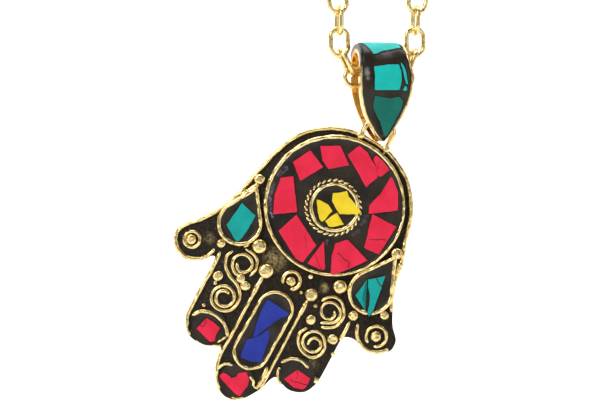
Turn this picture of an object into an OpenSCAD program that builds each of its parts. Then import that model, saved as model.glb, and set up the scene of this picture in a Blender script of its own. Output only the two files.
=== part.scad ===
// A hamsa pendant: a soldered brass hand with black resin and stone chips, on a folded bail and a cable chain.
// The hand is drawn flat, x to the right and y up towards its loop, from the centre of the big round setting,
// and z towards the viewer. hang_hand() then turns it upright, front towards -Y, and leans it from its loop.

/* [Metal] */
// Thickness of the back plate
plate_t = 1.2; // [0.8:0.1:1.8]
// Thickness of the setting walls and the rim wire
wire_d = 1.1; // [0.8:0.05:1.4]
// Thickness of the spiral wires and the twisted ring
fine_d = 0.9; // [0.6:0.05:1.1]
// Height of the big round setting above the plate
disc_h = 2.4; // [1.6:0.1:3.2]
// Height of the drop and oval settings above the plate
cell_h = 1.8; // [1.2:0.1:2.6]
// Height of the fingertip settings above the plate
tip_h = 1.2; // [0.9:0.1:1.8]

/* [Hand] */
// Radius of the big round setting, at the middle of its wall
disc_r = 17.2; // [15.5:0.1:19]
// Way from that wall to the rim wire, at the top of the hand
rim_way = 1.2; // [1:0.1:2]
// Radius of the centre ring, at the middle of its wall
centre_r = 5.6; // [5:0.1:6.2]
// Radius of the drop settings, at the middle of the wall
drop_r = 5.2; // [4.6:0.1:5.8]
// Height of a drop's point above the middle of its round end
drop_h = 11; // [9.5:0.1:12.5]
// Width of the middle finger, between the middles of its wires
mid_w = 12.7; // [11.8:0.1:14]
// Width of each outer finger, between the middles of its wires
side_w = 11.8; // [10.8:0.1:13]
// Reach of the outer fingertip settings below the disc's wall
side_reach = 24.2; // [22:0.2:28]
// Way from the oval setting to the resin of the middle fingertip
tip_way = 0.15; // [0.1:0.05:2]
// Radius of the fingertip settings, at the middle of the wall
tip_r = 4.4; // [4:0.1:4.8]
// Half width of the oval setting, at the middle of its wall
oval_w = 4.5; // [4:0.1:5]
// Half length of the oval setting, at the middle of its wall
oval_l = 10.3; // [9:0.1:11]
// Spread of the thumb rings beyond the disc's wall, from the middle finger's middle line
thumb_out = 9.1; // [8:0.1:12]
// Drop of the thumb rings below the disc's wall
thumb_down = 7; // [6:0.1:9]
// Radius of the thumb's round end
thumb_r = 4.1; // [3.6:0.1:4.6]
// Largest radius of the four spirals
spiral_r = 3.9; // [3.2:0.1:4.4]
// Height of the hanging loop's bend above the rim wire
loop_up = 3.2; // [3:0.1:4.5]
// Radius of the hanging loop, at the middle of its wire
loop_r = 3.6; // [3.4:0.1:4.2]
// Lean of the hand from the plumb line
lean = 27.8; // [0:0.1:45]

/* [Stones] */
// Thickness of the stone chips
chip_t = 1; // [0.6:0.1:1.4]
// Height of the chips above the resin
proud = 0.15; // [0:0.05:0.3]
// Depth of the resin below the top of its wall
shy = 0.35; // [0.1:0.05:0.6]
// Clearance between pieces that are set in each other
fit = 0.05; // [0.03:0.01:0.1]

/* [Bail] */
// Width of the bail at its shoulders
bail_w = 12.6; // [11:0.1:14]
// Thickness of the bail's brass strap
strap_t = 0.8; // [0.6:0.05:1]
// Thickness of the resin on the bail
coat_t = 1.8; // [1.5:0.1:2.4]
// Thickness of the brass edge round that resin
edge_t = 0.5; // [0.35:0.05:0.8]
// Clearance inside the fold, beside the chain
fold_gap = 0.3; // [0.25:0.05:0.6]
// Depth of the chain below the middle of the fold
chain_sag = 3; // [2.5:0.1:3.5]
// Way from the middle of the fold down to the hand's loop
bail_reach = 16.5; // [16:0.1:19]
// Turn of the bail and the chain about the plumb line
yaw = 15; // [0:1:18]
// Half width of the tongue that joins the two leaves through the hand's loop
tongue_w = 1; // [0.8:0.05:1.2]
// Clearance between the tongue and the hand's loop
loop_gap = 0.3; // [0.2:0.05:0.5]

/* [Chain] */
// Length of a link
link_l = 8; // [7:0.1:9]
// Width of a link
link_w = 5.6; // [5:0.1:6]
// Thickness of the link wire
link_d = 1.2; // [1:0.05:1.4]
// Clearance between one link's wire and the next
link_gap = 0.2; // [0.15:0.01:0.3]
// Width of the loop of chain
neck_w = 116; // [100:1:130]
// Height of the loop of chain, from the middle of the fold to the clasp
neck_drop = 166; // [150:1:180]
// Radius of the clasp ring, at the middle of its wire
clasp_r = 3.2; // [2.8:0.1:4]
// Thickness of the clasp ring
clasp_d = 1.6; // [1.3:0.1:2]

/* [Hidden] */
SETTING_STONES = ["coral_1", "coral_2", "coral_3", "coral_4", "coral_5", "coral_6", "coral_7", "coral_8",
    "coral_9", "coral_10"];
CENTRE_STONES = ["yellow_1", "yellow_2", "yellow_3"];
TIPS = ["left", "middle", "right"];
BAIL_STONES = ["bail_turquoise_1", "bail_turquoise_2", "bail_turquoise_3", "bail_turquoise_4"];
brass = [0.82, 0.68, 0.36];
black = [0.16, 0.15, 0.16];
red = [0.86, 0.17, 0.26];
green = [0.1, 0.62, 0.58];
blue = [0.18, 0.24, 0.65];
yellow = [0.93, 0.83, 0.22];
wall = wire_d / 2;
mid_x = -0.075 * disc_r;
oval_c = [mid_x, -disc_r - oval_l - 8];
tip_x = [mid_x - mid_w / 2 - side_w / 2, mid_x, mid_x + mid_w / 2 + side_w / 2 + tip_r * 0.11];
tips_down = disc_r + side_reach;
tip_y = [-tips_down, oval_c[1] - oval_l - tip_r - tip_way, -tips_down - tip_r * 0.11];
twist_r = centre_r + wall + 0.8 + fine_d / 2;
// The centre ring and the twisted ring sit a little off the middle of the disc.
centre_c = centre_r * [0.018, -0.08];
twist_c = centre_r * [-0.035, -0.035];
crotch_y = -disc_r - tip_r * 2.2;
web_y = -tips_down - tip_r * 0.72;
rim_z = plate_t + wall * 0.2;
loop_z = plate_t * 0.75;
loop_c = [0.065 * disc_r, disc_r + rim_way + loop_up];

// The drops: direction of the round end from the middle of the disc, way between the walls,
// and how far the point leans sideways, as a share of the radius.
drops = [[218, 1.6, -0.1], [320.2, 1, 0.27]];
function drop_c(k) = (disc_r + drop_r + drops[k][1]) * [cos(drops[k][0]), sin(drops[k][0])];
function drop_top(k) = drop_c(k) + [drops[k][2] * drop_r, drop_h];
function thumb_c(k) = [mid_x + (k == 0 ? -1 : 1) * (disc_r + thumb_out), -disc_r - thumb_down];

// Outlines of the red chips round the disc, as hundredths of the radius of the disc.
coral = [
    [[-69, 55], [-83, 28], [-61, 9], [-41, 42]],
    [[-33, 81], [-59, 67], [-46, 50], [-33, 43], [-9, 62]],
    [[-9, 94], [-18, 74], [2, 62], [20, 50], [28, 45], [30, 52], [35.5, 65], [28.5, 77], [16, 84], [6, 91]],
    [[21, 96], [18, 91], [18, 86], [28.9, 77.2], [34.5, 67.6], [40, 69], [46, 83], [36, 89]],
    [[52, 79], [51, 48], [44, 24], [49, 13], [84, 37], [73, 59]],
    [[93, 15], [54, 15], [66, -34], [92, -33], [91, -12]],
    [[40, -35], [26, -48], [40, -90], [65, -68], [81, -49]],
    [[10, -52], [7, -71], [4, -92], [28, -91], [30, -87]],
    [[-43, -37], [-55, -70], [-14, -94], [-3, -94], [3, -63]],
    [[-73, 10], [-88, 0], [-84, -28], [-73, -52], [-44, -33]]
];
// Outlines of the yellow chips, as hundredths of the radius of the centre ring.
grain = [
    [[-36, 53], [-24, 22], [1, 6], [35, -15], [109, 23], [120, 37], [71, 59], [34, 73], [16, 92], [-14, 67]],
    [[-54, -52], [-34, -75], [-20, -81], [-11, -66], [-8, -41], [-1, -16], [-29, 0], [-73, 0], [-87, -5]],
    [[5, -42], [-8, -72], [22, -98], [40, -99], [73, -46], [22, -14]]
];
// Outlines of the chips in the drops, as hundredths of the radius of a drop.
drop_chips = [
    [[-45, 40], [-52, -36], [0, -74], [28, -80], [49, -56], [50, 25], [49, 68], [-37, 92]],
    [[-12, 9], [11, -45], [33, -79], [46, -71], [39, 6], [34, 63], [26, 105], [-14, 68], [-41, 49]],
    [[-41, 44], [-57, -45], [-11, -71], [14, -83], [-9, -55], [-30, -11], [-37, 26]]
];
// Outlines of the blue chips: across as hundredths of the oval's half width, along of its half length.
lapis = [
    [[20, 71], [-59, 71], [-56, 13], [-42, -21], [-24, -17], [2, 10], [40, 42], [74, 64]],
    [[23, 8], [-10, -21], [-53, -33], [-51, -66], [-38, -84], [20, -81], [64, -70], [44, -17]]
];
// Outlines of the fingertip chips, as hundredths of the radius of a fingertip setting.
tip_chips = [
    [[-37, 40], [-61, -39], [42, -71], [64, -53], [54, -23], [55, 25], [7, 37]],
    [[-43, -44], [9, -63], [55, -62], [82, 28], [65, 35], [32, 83], [-28, 17], [-88, 12], [-100, -16]],
    [[-56, -50], [16, -68], [80, -64], [88, -36], [75, 22], [-12, 30]]
];
// Spirals: finger (-1 left, 1 right), height as a share of the way down to the outer fingertips, hole's share of
// the radius, turns, direction of the inner end, and way off the finger's middle as a share of the radius.
spirals = [
    [-1, 0.555, 0.46, 1.9, 200, 0], [-1, 0.8, 0.36, 2.2, 60, -0.2],
    [1, 0.58, 0.3, 2.3, 250, 0.26], [1, 0.795, 0.24, 2.4, 120, -0.09]
];
// Granules: across as a share of the middle finger's width from its middle line, height as a share of the
// outer fingertips' reach, and radius as a share of the wall wire's thickness.
granules = [
    [-0.83, -0.42, 1.5], [-0.47, -0.535, 1.5], [-1.29, -0.7, 1.18], [-0.88, -0.655, 0.9], [-0.72, -0.67, 1],
    [0.51, -0.545, 1.45], [0.93, -0.42, 1.45], [0.74, -0.675, 1.1], [1.31, -0.725, 1.1], [0.34, -0.45, 0.55],
    [0.32, -0.56, 0.4], [0.69, -0.587, 0.4]
];

// The bail's face: heights as shares of its whole drop below the middle of the fold, and half widths
// as shares of its half width at the shoulders.
face_rows = [[0.3, 0.94], [0, 0.98], [-0.2, 1], [-0.38, 0.96], [-0.52, 0.87], [-0.65, 0.74], [-0.76, 0.58], [-0.85, 0.42],
    [-0.93, 0.26], [-0.975, 0.15], [-1, 0.05]];
// Chips on the bail's front: across as shares of the half width, up as shares of the drop.
bail_chips = [
    [[0.52, 0.03], [-0.52, -0.01], [-0.54, -0.325], [0.46, -0.325], [0.56, -0.12]],
    [[0.58, -0.01], [0.62, -0.27], [0.7, -0.28], [0.66, -0.01]],
    [[0.54, -0.42], [-0.5, -0.42], [-0.52, -0.56], [-0.16, -0.76], [0.02, -0.92], [0.28, -0.75], [0.56, -0.52]]
];
top_chip = [[-0.7, -0.64], [0.78, 0.66]];
top_turn = [-58, 30];

// The route of each strand of chain: across as shares of half the loop's width, up as shares of its height.
strand_left = [[-0.185, 0.1], [-0.27, 0.2], [-0.55, 0.38], [-0.88, 0.56], [-1, 0.74], [-0.82, 0.9], [-0.42, 0.985]];
strand_right = [[0.175, 0.1], [0.25, 0.2], [0.53, 0.38], [0.87, 0.56], [1, 0.74], [0.82, 0.9], [0.42, 0.985]];
// Headings of the two links beside the bail, from the level: left strand, then right strand.
rise = [[62, 88], [68, 90]];

function scaled(points, sx, sy) = [for (p = points) [p[0] * sx, p[1] * sy]];
function moved(points, c) = [for (p = points) [p[0] + c[0], p[1] + c[1]]];
function arc(c, r, from, to, n) =
    [for (i = [0:n]) let(a = from + (to - from) * i / n) [c[0] + r * cos(a), c[1] + r * sin(a)]];
function unit(v) = v / norm(v);
function right_of(v) = [v[1], -v[0]];
// A polygon, counter-clockwise, with each side moved out by d.
function grown(p, d) = let(n = len(p)) [for (i = [0:n - 1])
    let(a = right_of(unit(p[i] - p[(i + n - 1) % n])), b = right_of(unit(p[(i + 1) % n] - p[i])))
    p[i] + (a + b) * d / (1 + a * b)];
function heading(path, i, closed) = let(n = len(path))
    closed ? unit(path[(i + 1) % n] - path[(i + n - 1) % n])
    : unit(path[min(i + 1, n - 1)] - path[max(i - 1, 0)]);
function catmull(a, b, c, d, t) = 0.5 * (2 * b + (c - a) * t + (2 * a - 5 * b + 4 * c - d) * t * t
    + (3 * b - a - 3 * c + d) * t * t * t);
// A smooth way through the points, with its ends' tangents given by the first and last point.
function smooth(p, steps) = concat(
    [for (i = [1:len(p) - 3]) for (j = [0:steps - 1]) catmull(p[i - 1], p[i], p[i + 1], p[i + 2], j / steps)],
    [p[len(p) - 2]]);

// A profile of [outwards, up] points, counter-clockwise, carried along a flat path.
module sweep(path, profile, closed = true) {
    n = len(path);
    m = len(profile);
    points = [for (i = [0:n - 1]) let(s = right_of(heading(path, i, closed))) for (q = profile)
        [path[i][0] + s[0] * q[0], path[i][1] + s[1] * q[0], q[1]]];
    sides = [for (i = [0:n - (closed ? 1 : 2)]) for (j = [0:m - 1])
        [i * m + j, i * m + (j + 1) % m, ((i + 1) % n) * m + (j + 1) % m, ((i + 1) % n) * m + j]];
    caps = closed ? [] : [[for (j = [m - 1:-1:0]) j], [for (j = [0:m - 1]) (n - 1) * m + j]];
    polyhedron(points, concat(sides, caps), convexity = 10);
}
// A wire soldered to the plate along its whole length: round on top, filled with solder below.
module wire(path, d, z, closed = false)
    sweep(path, [[-d / 2, plate_t / 2], [d / 2, plate_t / 2], [d / 2, z], [d / 4, z + d * 0.43],
        [-d / 4, z + d * 0.43], [-d / 2, z]], closed);
// A round wire that stands free.
module free_wire(path, d, z, n = 10)
    sweep(path, [for (j = [0:n - 1]) [d / 2 * cos(360 * j / n), z + d / 2 * sin(360 * j / n)]], false);
// A setting's wall with a rounded top.
module bezel(path, h, closed = true) {
    top = plate_t + h;
    sweep(path, [[-wall, plate_t / 2], [wall, plate_t / 2], [wall, top - wall * 0.7], [wall * 0.45, top],
        [-wall * 0.45, top], [-wall, top - wall * 0.7]], closed);
}
// A granule soldered to the plate.
module granule(p, r, n = 12)
    translate([p[0], p[1], plate_t - fit])
        hull() {
            translate([0, 0, r * 0.62])
                sphere(r = r, $fn = n);
            cylinder(r = r * 0.75, h = r * 0.3, $fn = n);
        }

// Outlines of the hand's parts, all counter-clockwise.
function drop_path(k, r) = let(c = drop_c(k), t = drop_top(k), way = t - c, a = atan2(way[1], way[0]),
    open = acos(drop_r / norm(way)), tip = r / drop_r)
    concat([c + way * tip], arc(c, r, a + open, a + 360 - open, 24));
function oval_path(w, l) = concat(
    arc(oval_c + [0, l - w], w, 0, 180, 12), arc(oval_c - [0, l - w], w, 180, 360, 12));
function tip_c(k) = [tip_x[k], tip_y[k]];
// The bend from a finger's straight side, at x, towards its tip (s is -1 on the left, 1 on the right).
function left_bend(k, x, s = -1) = [[x, tip_y[k] + tip_r * 0.1],
    [x + (tip_x[k] + s * tip_r - x) * 0.35, tip_y[k] - tip_r * 0.3]];
function right_bend(k, x) = let(b = left_bend(k, x, 1)) [b[1], b[0]];
function crown(a) = let(r = disc_r + rim_way * (1 + 1.5 * (1 - sin(a)))) [r * cos(a), r * sin(a)];
left_edge = mid_x - mid_w / 2 - side_w;
right_edge = mid_x + mid_w / 2 + side_w;
wing = drop_r + wall * 1.5;
outline = concat(
    [for (a = [2:11:178]) crown(a)],
    [[drop_c(0)[0] - wing * 0.55, drop_c(0)[1] + drop_h * 0.75]],
    arc(drop_c(0), wing, 165, 195, 2),
    [[thumb_c(0)[0] * 0.55 + drop_c(0)[0] * 0.45 - wing * 0.42, drop_c(0)[1] * 0.6 + thumb_c(0)[1] * 0.4]],
    arc(thumb_c(0), thumb_r, 145, 300, 8),
    [[left_edge - wall, crotch_y], [left_edge, crotch_y - tip_r * 0.3]],
    left_bend(0, left_edge), arc(tip_c(0), tip_r, 214, 322, 8), [[mid_x - mid_w / 2 - wall, web_y]],
    left_bend(1, mid_x - mid_w / 2), arc(tip_c(1), tip_r, 214, 326, 8), right_bend(1, mid_x + mid_w / 2 - wall),
    [[mid_x + mid_w / 2 + wall, web_y]], arc(tip_c(2), tip_r, 218, 326, 8), right_bend(2, right_edge),
    [[right_edge, crotch_y - tip_r * 0.4], [right_edge + wall, crotch_y]],
    arc(thumb_c(1), thumb_r, 235, 370, 7),
    [[thumb_c(1)[0] * 0.55 + drop_c(1)[0] * 0.45 + wing * 0.33, drop_c(1)[1] * 0.6 + thumb_c(1)[1] * 0.4]],
    arc(drop_c(1), wing, -12, 20, 2),
    [[drop_c(1)[0] + wing * 0.62, drop_c(1)[1] + drop_h * 0.8]]
);
function spiral_path(s) = let(c = [mid_x + s[0] * (mid_w + side_w) / 2 + s[5] * spiral_r, -s[1] * tips_down],
    from = s[2] * spiral_r, n = ceil(s[3] * 14))
    [for (i = [0:n]) let(t = i / n, r = from + (spiral_r - fine_d / 2 - from) * t, a = s[4] - s[0] * 360 * s[3] * t)
        c + r * [cos(a), sin(a)]];
function beside(row) = [mid_x + row[0] * mid_w, row[1] * tips_down];

module hand_frame() {
    color(brass) hang_hand() union() {
        linear_extrude(plate_t)
            polygon(outline);
        wire(outline, wire_d, rim_z, true);
        bezel(arc([0, 0], disc_r, 0, 354, 59), disc_h);
        bezel(arc(centre_c, centre_r, 0, 350, 35), disc_h);
        sweep(arc(twist_c, twist_r, 0, 352.5, 47), [[-fine_d / 2, plate_t / 2], [fine_d / 2, plate_t / 2],
            [fine_d / 2, disc_top - fine_d / 3], [0, disc_top + fine_d / 4], [-fine_d / 2, disc_top - fine_d / 3]]);
        for (k = [0, 1]) {
            bezel(drop_path(k, drop_r), cell_h);
            granule(drop_top(k) + [0, wire_d], wire_d * 1.2);
            granule(drop_c(k) + [k == 0 ? -wall * 2 : -wire_d, -drop_r - wire_d * 1.25], wire_d);
            wire(arc(thumb_c(k), thumb_r * 0.6, 0, 342, 19), fine_d, plate_t + fine_d * 0.3, true);
            granule(thumb_c(k), wire_d * 1.25);
        }
        granule(drop_c(1) + [drop_r + wire_d * 0.7, -drop_r * 0.65], wire_d);
        bezel(oval_path(oval_w, oval_l), cell_h);
        for (k = [0, 1, 2])
            bezel(arc(tip_c(k), tip_r, [20, 45, 50][k], [160, 165, 205][k], 8), tip_h, false);
        bezel(arc(tip_c(1), tip_r, 20, 45, 2), tip_h, false);
        for (s = spirals)
            wire(spiral_path(s), fine_d, plate_t + fine_d * 0.3);
        for (g = granules)
            granule(beside(g), wire_d * g[2], g[2] < 0.6 ? 8 : 12);
        wire(arc([mid_x + wall, -disc_r - 4], 2.1, -60, 240, 16), fine_d, plate_t + fine_d * 0.3);
        granule([mid_x + wall, -disc_r - 4.6], wire_d * 1.1);
        for (k = [-1, 1])
            wire([[mid_x + k * mid_w / 2, -0.56 * tips_down], [mid_x + k * mid_w / 2, web_y]], wire_d, rim_z);
        free_wire(concat([loop_c + [loop_r, -loop_up - wire_d]], arc(loop_c, loop_r, 0, 180, 14),
            [loop_c + [-loop_r, -loop_up - wire_d]]), wire_d, loop_z);
    }
}

// Tops of the resin, above the back of the plate.
disc_top = plate_t + disc_h - shy;
cell_top = plate_t + cell_h - shy;
tip_top = plate_t + tip_h - shy;

// A filling of black resin, with pockets for its chips.
module filling(outline_2d, top, chips) {
    difference() {
        translate([0, 0, plate_t + fit])
            linear_extrude(top - plate_t - fit)
                polygon(outline_2d);
        for (c = chips)
            translate([0, 0, top + proud - chip_t - fit])
                linear_extrude(chip_t)
                    polygon(grown(c, fit));
    }
}
module chip(points, top)
    translate([0, 0, top + proud - chip_t])
        linear_extrude(chip_t)
            polygon(points);

function round_to(p, r) = [for (q = p) norm(q) > r ? q * r / norm(q) : q];
disc_in = disc_r - wall - fit;
centre_in = centre_r - wall - fit;
coral_2d = [for (c = coral) round_to(scaled(c, disc_r / 100, disc_r / 100), disc_in - 4 * fit)];
grain_2d = [for (c = grain)
    moved(round_to(scaled(c, centre_r / 100, centre_r / 100), centre_in - 4 * fit), centre_c)];
drop_2d = [for (i = [0:2]) moved(scaled(drop_chips[i], drop_r / 100, drop_r / 100), drop_c(i == 0 ? 0 : 1))];
lapis_2d = [for (c = lapis) moved(scaled(c, oval_w / 100, oval_l / 100), oval_c)];
tip_in = tip_r - wall - fit;
tip_2d = [for (k = [0:2])
    moved(round_to(scaled(tip_chips[k], tip_r / 100, tip_r / 100), tip_in - 3 * fit), tip_c(k))];

module resin_disc() {
    color(black) hang_hand() difference() {
        translate([0, 0, plate_t + fit])
            cylinder(r = disc_in, h = disc_top - plate_t - fit, $fn = 96);
        translate(twist_c)
            cylinder(r = twist_r + fine_d / 2 + fit, h = disc_h * 3, $fn = 96);
        for (c = coral_2d)
            translate([0, 0, disc_top + proud - chip_t - fit])
                linear_extrude(chip_t)
                    polygon(grown(c, fit));
    }
}
module resin_ring() {
    color(black) hang_hand() translate([0, 0, plate_t + fit])
        difference() {
            translate(twist_c)
                cylinder(r = twist_r - fine_d / 2 - fit, h = disc_top - plate_t - fit, $fn = 64);
            translate([centre_c[0], centre_c[1], -1])
                cylinder(r = centre_r + wall + fit, h = disc_h * 3, $fn = 64);
        }
}
module resin_centre() {
    color(black) hang_hand() filling(arc(centre_c, centre_in, 0, 352.5, 47), disc_top, grain_2d);
}
module resin_drop(k)
    color(black) hang_hand() filling(drop_path(k, drop_r - wall - fit), cell_top,
        k == 0 ? [drop_2d[0]] : [drop_2d[1], drop_2d[2]]);
module resin_oval() {
    color(black) hang_hand() filling(oval_path(oval_w - wall - fit, oval_l - wall - fit), cell_top, lapis_2d);
}
module resin_tip(k)
    color(black) hang_hand() filling(arc(tip_c(k), tip_in, 0, 345, 23), tip_top, [tip_2d[k]]);

// The hand hangs by the bend of its loop, from the tongue of the bail.
module hang_hand()
    translate([0, loop_z, -neck_drop - bail_reach])
        rotate([0, lean, 0])
            rotate([90, 0, 0])
                translate([-loop_c[0], -loop_c[1], 0])
                    children();

// The bail, from the middle of its fold.
fold_r = link_w / 2 + fold_gap;
tongue_top = loop_r - wall - loop_gap;
bail_low = bail_reach + loop_r - wall - loop_gap * 2;
leaf_gap = (loop_r + wall) * sin(yaw) + wall + fit * 2;
module hang_bail()
    translate([0, 0, -neck_drop])
        rotate([0, 0, yaw])
            children();
// The side view of the bail, t outside the hollow between its leaves.
module fold_side(t) {
    circle(r = fold_r + t, $fn = 72);
    polygon([[fold_r + t, 0], [-fold_r - t, 0], [-fold_r - t, -chain_sag - link_d],
        [-leaf_gap - t, -bail_reach + loop_r], [-leaf_gap - t, -bail_low * 1.2],
        [leaf_gap + t, -bail_low * 1.2], [leaf_gap + t, -bail_reach + loop_r], [fold_r + t, -chain_sag - link_d]]);
}
module layer(from, to)
    rotate([90, 0, 90])
        translate([0, 0, -bail_w])
            linear_extrude(2 * bail_w)
                difference() {
                    fold_side(to);
                    fold_side(from);
                }
function face_outline(inset) = grown(concat(
    [for (r = face_rows) [-r[1] * bail_w / 2, r[0] * bail_low]],
    [for (i = [len(face_rows) - 1:-1:0]) [face_rows[i][1] * bail_w / 2, face_rows[i][0] * bail_low]]), -inset);
module through_face(points)
    rotate([90, 0, 0])
        translate([0, 0, -2 * bail_w])
            linear_extrude(4 * bail_w)
                polygon(points);
top_rise = fold_r + strap_t + coat_t + 1;
function blade(inset) = let(p = face_outline(inset), n = len(p))
    [for (i = [0:n - 1]) i == 0 || i == n - 1 ? [p[i][0], top_rise] : p[i]];
module front_half()
    translate([-bail_w, -2 * bail_w, -2 * bail_low])
        cube([2 * bail_w, 2 * bail_w + fold_r * 0.4, 4 * bail_low]);
module bail_frame() {
    color(brass) hang_bail() union() {
        intersection() {
            layer(0, strap_t);
            through_face(blade(0));
        }
        intersection() {
            difference() {
                layer(strap_t - fit, strap_t + coat_t);
                through_face(blade(edge_t));
            }
            through_face(blade(0));
            front_half();
        }
        intersection() {
            translate([-tongue_w, -leaf_gap - fit, -bail_low + fit])
                cube([2 * tongue_w, 2 * (leaf_gap + fit), bail_low]);
            translate([0, 0, -bail_reach])
                rotate([90, 0, 0])
                    cylinder(r = tongue_top, h = 4 * leaf_gap, center = true, $fn = 64);
        }
    }
}
bail_top_t = strap_t + coat_t + proud;
function bail_2d(i) = scaled(bail_chips[i], bail_w / 2, bail_low);
module front_only()
    translate([-bail_w, -2 * bail_w, -2 * bail_low])
        cube([2 * bail_w, 2 * bail_w, 4 * bail_low]);
module front_chip(i, d)
    intersection() {
        layer(bail_top_t - chip_t - d, bail_top_t + d);
        through_face(grown(bail_2d(i), d));
        front_only();
    }
// The chip on top of the fold: a slice of the ring round the fold, with slanting ends.
module fold_chip(d)
    intersection() {
        rotate([90, 0, 90])
            translate([0, 0, -bail_w])
                linear_extrude(2 * bail_w)
                    difference() {
                        circle(r = fold_r + bail_top_t + d, $fn = 72);
                        circle(r = fold_r + bail_top_t - chip_t - d, $fn = 72);
                        polygon([[0, 0], 3 * fold_r * [sin(top_turn[0]) , cos(top_turn[0])] - [d, 0],
                            [-9 * fold_r, 3 * fold_r], [-9 * fold_r, -9 * fold_r], [9 * fold_r, -9 * fold_r],
                            [9 * fold_r, 3 * fold_r], 3 * fold_r * [sin(top_turn[1]), cos(top_turn[1])] + [d, 0]]);
                    }
        translate([0, 0, -1])
            linear_extrude(4 * fold_r)
                polygon(grown([[top_chip[0][1] * bail_w / 2, -2 * fold_r], [top_chip[1][1] * bail_w / 2, -2 * fold_r],
                    [top_chip[1][0] * bail_w / 2, 2 * fold_r], [top_chip[0][0] * bail_w / 2, 2 * fold_r]], d));
    }
module bail_resin() {
    color(black) hang_bail() difference() {
        intersection() {
            layer(strap_t + fit, strap_t + coat_t);
            through_face(blade(edge_t + fit));
            front_half();
        }
        for (i = [0:2])
            front_chip(i, fit);
        fold_chip(fit);
    }
}

// The chain: a flat row of three links inside the bail, a steep link and an upright one beside it,
// then links along a smooth way to the clasp. Even links lie across the loop, odd ones along it.
end_x = (link_l - link_d) / 2;
bow_r = (link_w - link_d) / 2;
hook = link_d + link_gap;
pitch = 2 * end_x - hook;
function dir(a) = [cos(a), sin(a)];
module link(c, a, across)
    translate([c[0], 0, c[1]])
        rotate([0, -a, 0])
            rotate([across ? 0 : 90, 0, 0])
                for (s = [0, 180])
                    rotate([0, 0, s]) {
                        translate([end_x - bow_r, 0, 0])
                            rotate([0, 0, -90])
                                rotate_extrude(angle = 180, $fn = 48)
                                    translate([bow_r, 0])
                                        circle(r = link_d / 2, $fn = 24);
                        translate([0, bow_r, 0])
                            rotate([0, 90, 0])
                                cylinder(r = link_d / 2, h = 2 * (end_x - bow_r), center = true, $fn = 24);
                    }
// Where the links beside the bail lie, on the right: [middle, heading].
function near_links(k) = let(
    first = [pitch, -chain_sag],
    second = first + [end_x - bow_r, 0] + (bow_r - hook + end_x) * dir(rise[k][0]),
    third = second + end_x * dir(rise[k][0]) + (end_x - hook) * dir(rise[k][1]))
    [[first, 0], [second, rise[k][0]], [third, rise[k][1]]];
clasp_in = clasp_r - (clasp_d + link_d) / 2 - link_gap + hook / 2;
function way(k) = let(last = near_links(k)[2], s = k == 0 ? -1 : 1, row = k == 0 ? strand_left : strand_right,
    start = last[0] + pitch / 2 * dir(last[1]))
    smooth(concat([start - 8 * dir(last[1]), start],
        [for (p = row) [abs(p[0]) * neck_w / 2, p[1] * neck_drop]],
        [[clasp_in, neck_drop], [-20, neck_drop]]), 8);
function lengths(p) = [for (i = 0, s = 0; i < len(p); s = s + norm(p[min(i + 1, len(p) - 1)] - p[i]), i = i + 1) s];
function spot(p, l, s) = [for (j = [0, 1]) lookup(s, [for (i = [0:len(p) - 1]) [l[i], p[i][j]]])];
module strand(k) {
    p = way(k);
    l = lengths(p);
    total = l[len(l) - 1];
    n = 2 * floor(total / pitch / 2 + 0.5);
    joints = [for (i = [0:n]) spot(p, l, total * i / n)];
    near = near_links(k);
    for (i = [0:2])
        link(near[i][0], near[i][1], i == 1);
    for (i = [0:n - 1])
        let(v = joints[i + 1] - joints[i])
            link((joints[i] + joints[i + 1]) / 2, atan2(v[1], v[0]), i % 2 == 0);
}
module chain_left() {
    color(brass) hang_bail() mirror([1, 0, 0]) strand(0);
}
module chain_right() {
    color(brass) hang_bail() {
        strand(1);
        link([0, -chain_sag], 0, true);
    }
}
module clasp() {
    color(brass) hang_bail() translate([0, 0, neck_drop])
        rotate_extrude($fn = 64)
            translate([clasp_r, 0])
                circle(r = clasp_d / 2, $fn = 24);
}

hand_frame();
resin_disc();
resin_ring();
resin_centre();
resin_drop(0);  // resin_drop_left
resin_drop(1);  // resin_drop_right
resin_oval();
for (k = [0:2])
    resin_tip(k);
for (k = [0:2])
    color(red) hang_hand() chip(tip_2d[k], tip_top);
for (i = [0:9])
    color(red) hang_hand() chip(coral_2d[i], disc_top);
for (i = [0:2])
    color(yellow) hang_hand() chip(grain_2d[i], disc_top);
color(green) hang_hand() chip(drop_2d[0], cell_top);  // turquoise_left
color(green) hang_hand() chip(drop_2d[1], cell_top);  // turquoise_right_1
color(green) hang_hand() chip(drop_2d[2], cell_top);  // turquoise_right_2
color(blue) hang_hand() chip(lapis_2d[0], cell_top);  // lapis_1
color(blue) hang_hand() chip(lapis_2d[1], cell_top);  // lapis_2
bail_frame();
bail_resin();
color(green) hang_bail() fold_chip(0);  // bail_turquoise_1
for (i = [0:2])
    color(green) hang_bail() front_chip(i, 0);
chain_left();
chain_right();
clasp();
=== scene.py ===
import random
from math import acos, atan2, copysign, cos, degrees, exp, pi, radians, sin
import bpy
import numpy as np
from mathutils import Matrix, Vector, noise


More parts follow.
